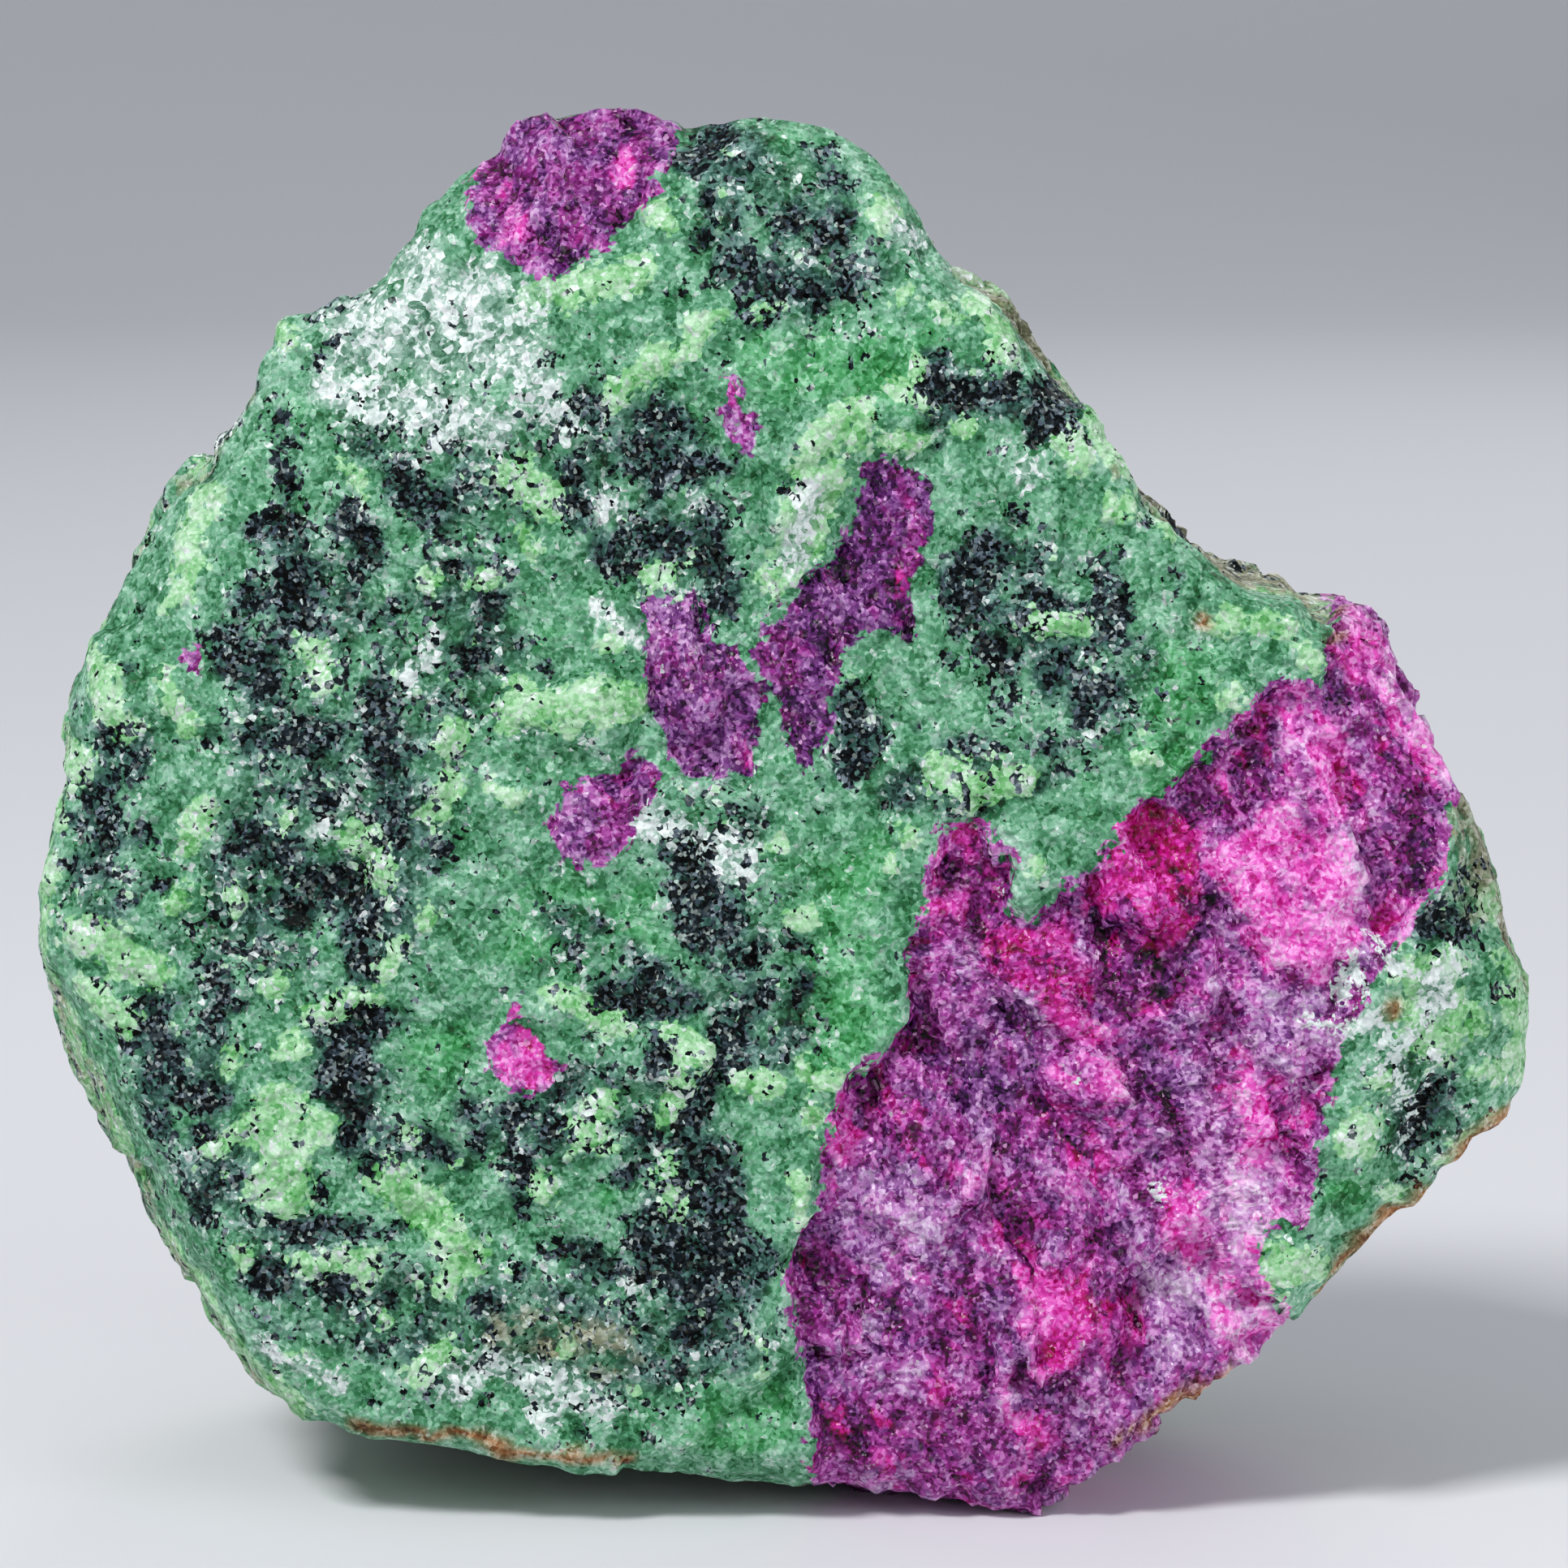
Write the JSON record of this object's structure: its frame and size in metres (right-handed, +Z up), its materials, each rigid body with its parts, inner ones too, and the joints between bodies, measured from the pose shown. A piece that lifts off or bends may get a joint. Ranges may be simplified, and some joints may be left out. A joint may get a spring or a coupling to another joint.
{
  "type": "ruby in zoisite specimen",
  "caption": "Rough hand-sized lump of green zoisite with magenta ruby and black hornblende, broken on all sides, standing on a flat place under it.",
  "frame": {"origin": "on the surface the stone stands on, under the middle of the stone's bounding box", "axes": "+X to the right across the broad front face, +Y from the front face to the back, +Z up"},
  "size_m": [0.1027, 0.0451, 0.0948],
  "materials": {
    "stone": "broken rough stone: grey-green zoisite speckled black and pale green, with patches of magenta ruby"
  },
  "bodies": {
    "root": {"ruby_in_zoisite_stone": "stone"}
  },
  "joints": []
}
